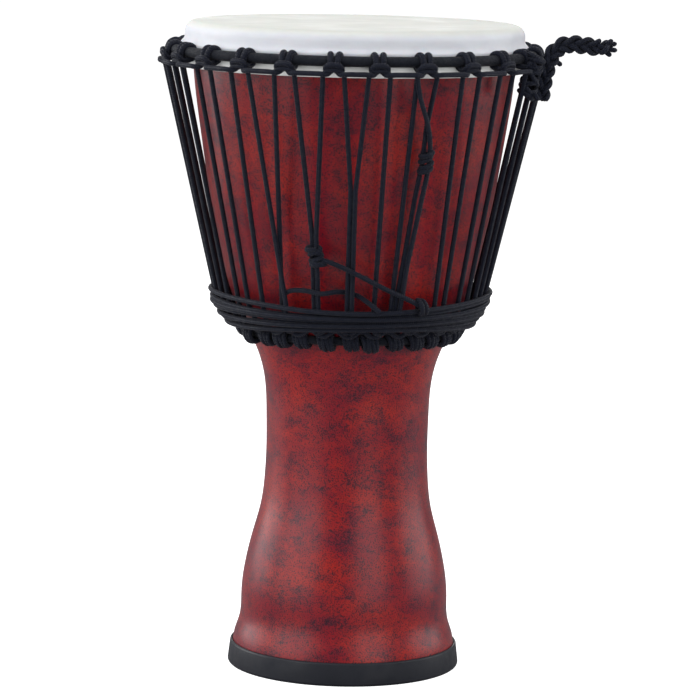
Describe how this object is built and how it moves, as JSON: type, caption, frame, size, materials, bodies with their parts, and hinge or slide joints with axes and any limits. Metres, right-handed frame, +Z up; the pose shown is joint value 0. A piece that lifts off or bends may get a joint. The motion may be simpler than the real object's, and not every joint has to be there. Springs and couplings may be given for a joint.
{
  "type": "rope-tuned djembe",
  "caption": "Goblet-shaped hand drum with a lacquered hollow shell, a preformed white head, sleeved rings, black rope lacing and a rubber foot.",
  "frame": {"origin": "centre of the circle that the drum stands on", "axes": "+Z up along the drum's axis, -Y towards the player's side with the pull strand, +X towards the rope tail"},
  "size_m": [0.4239, 0.3686, 0.61],
  "materials": {
    "shell_lacquer": "satin-gloss lacquer, red mottled with dark blue-black speckle",
    "foot_rubber": "satin black rubber",
    "head_film": "matt off-white film",
    "hoop_enamel": "white enamel",
    "ring_steel": "plain steel bar",
    "ring_sleeve": "tight black woven sleeve",
    "rope": "black braided polyester rope"
  },
  "bodies": {
    "root": {"shell": "shell_lacquer", "rubber_foot": "foot_rubber", "drum_head": "head_film", "flesh_hoop": "hoop_enamel", "crown_ring": "ring_steel", "crown_ring_sleeve": "ring_sleeve", "lower_ring": "ring_steel", "lower_ring_sleeve": "ring_sleeve", "top_hitches": "rope", "top_cradle_links": "rope", "lower_hitches": "rope", "lower_cradle_rope": "rope", "lacing_rope": "rope", "waist_wraps": "rope", "pull_strand": "rope", "weave_strand": "rope", "splice_strand": "rope", "slip_knot": "rope", "splice_knot": "rope", "wrap_hitch": "rope", "tie_off_knot": "rope", "tail_braid": "rope", "tail_end_knot": "rope", "loose_ends": "rope"}
  },
  "joints": []
}
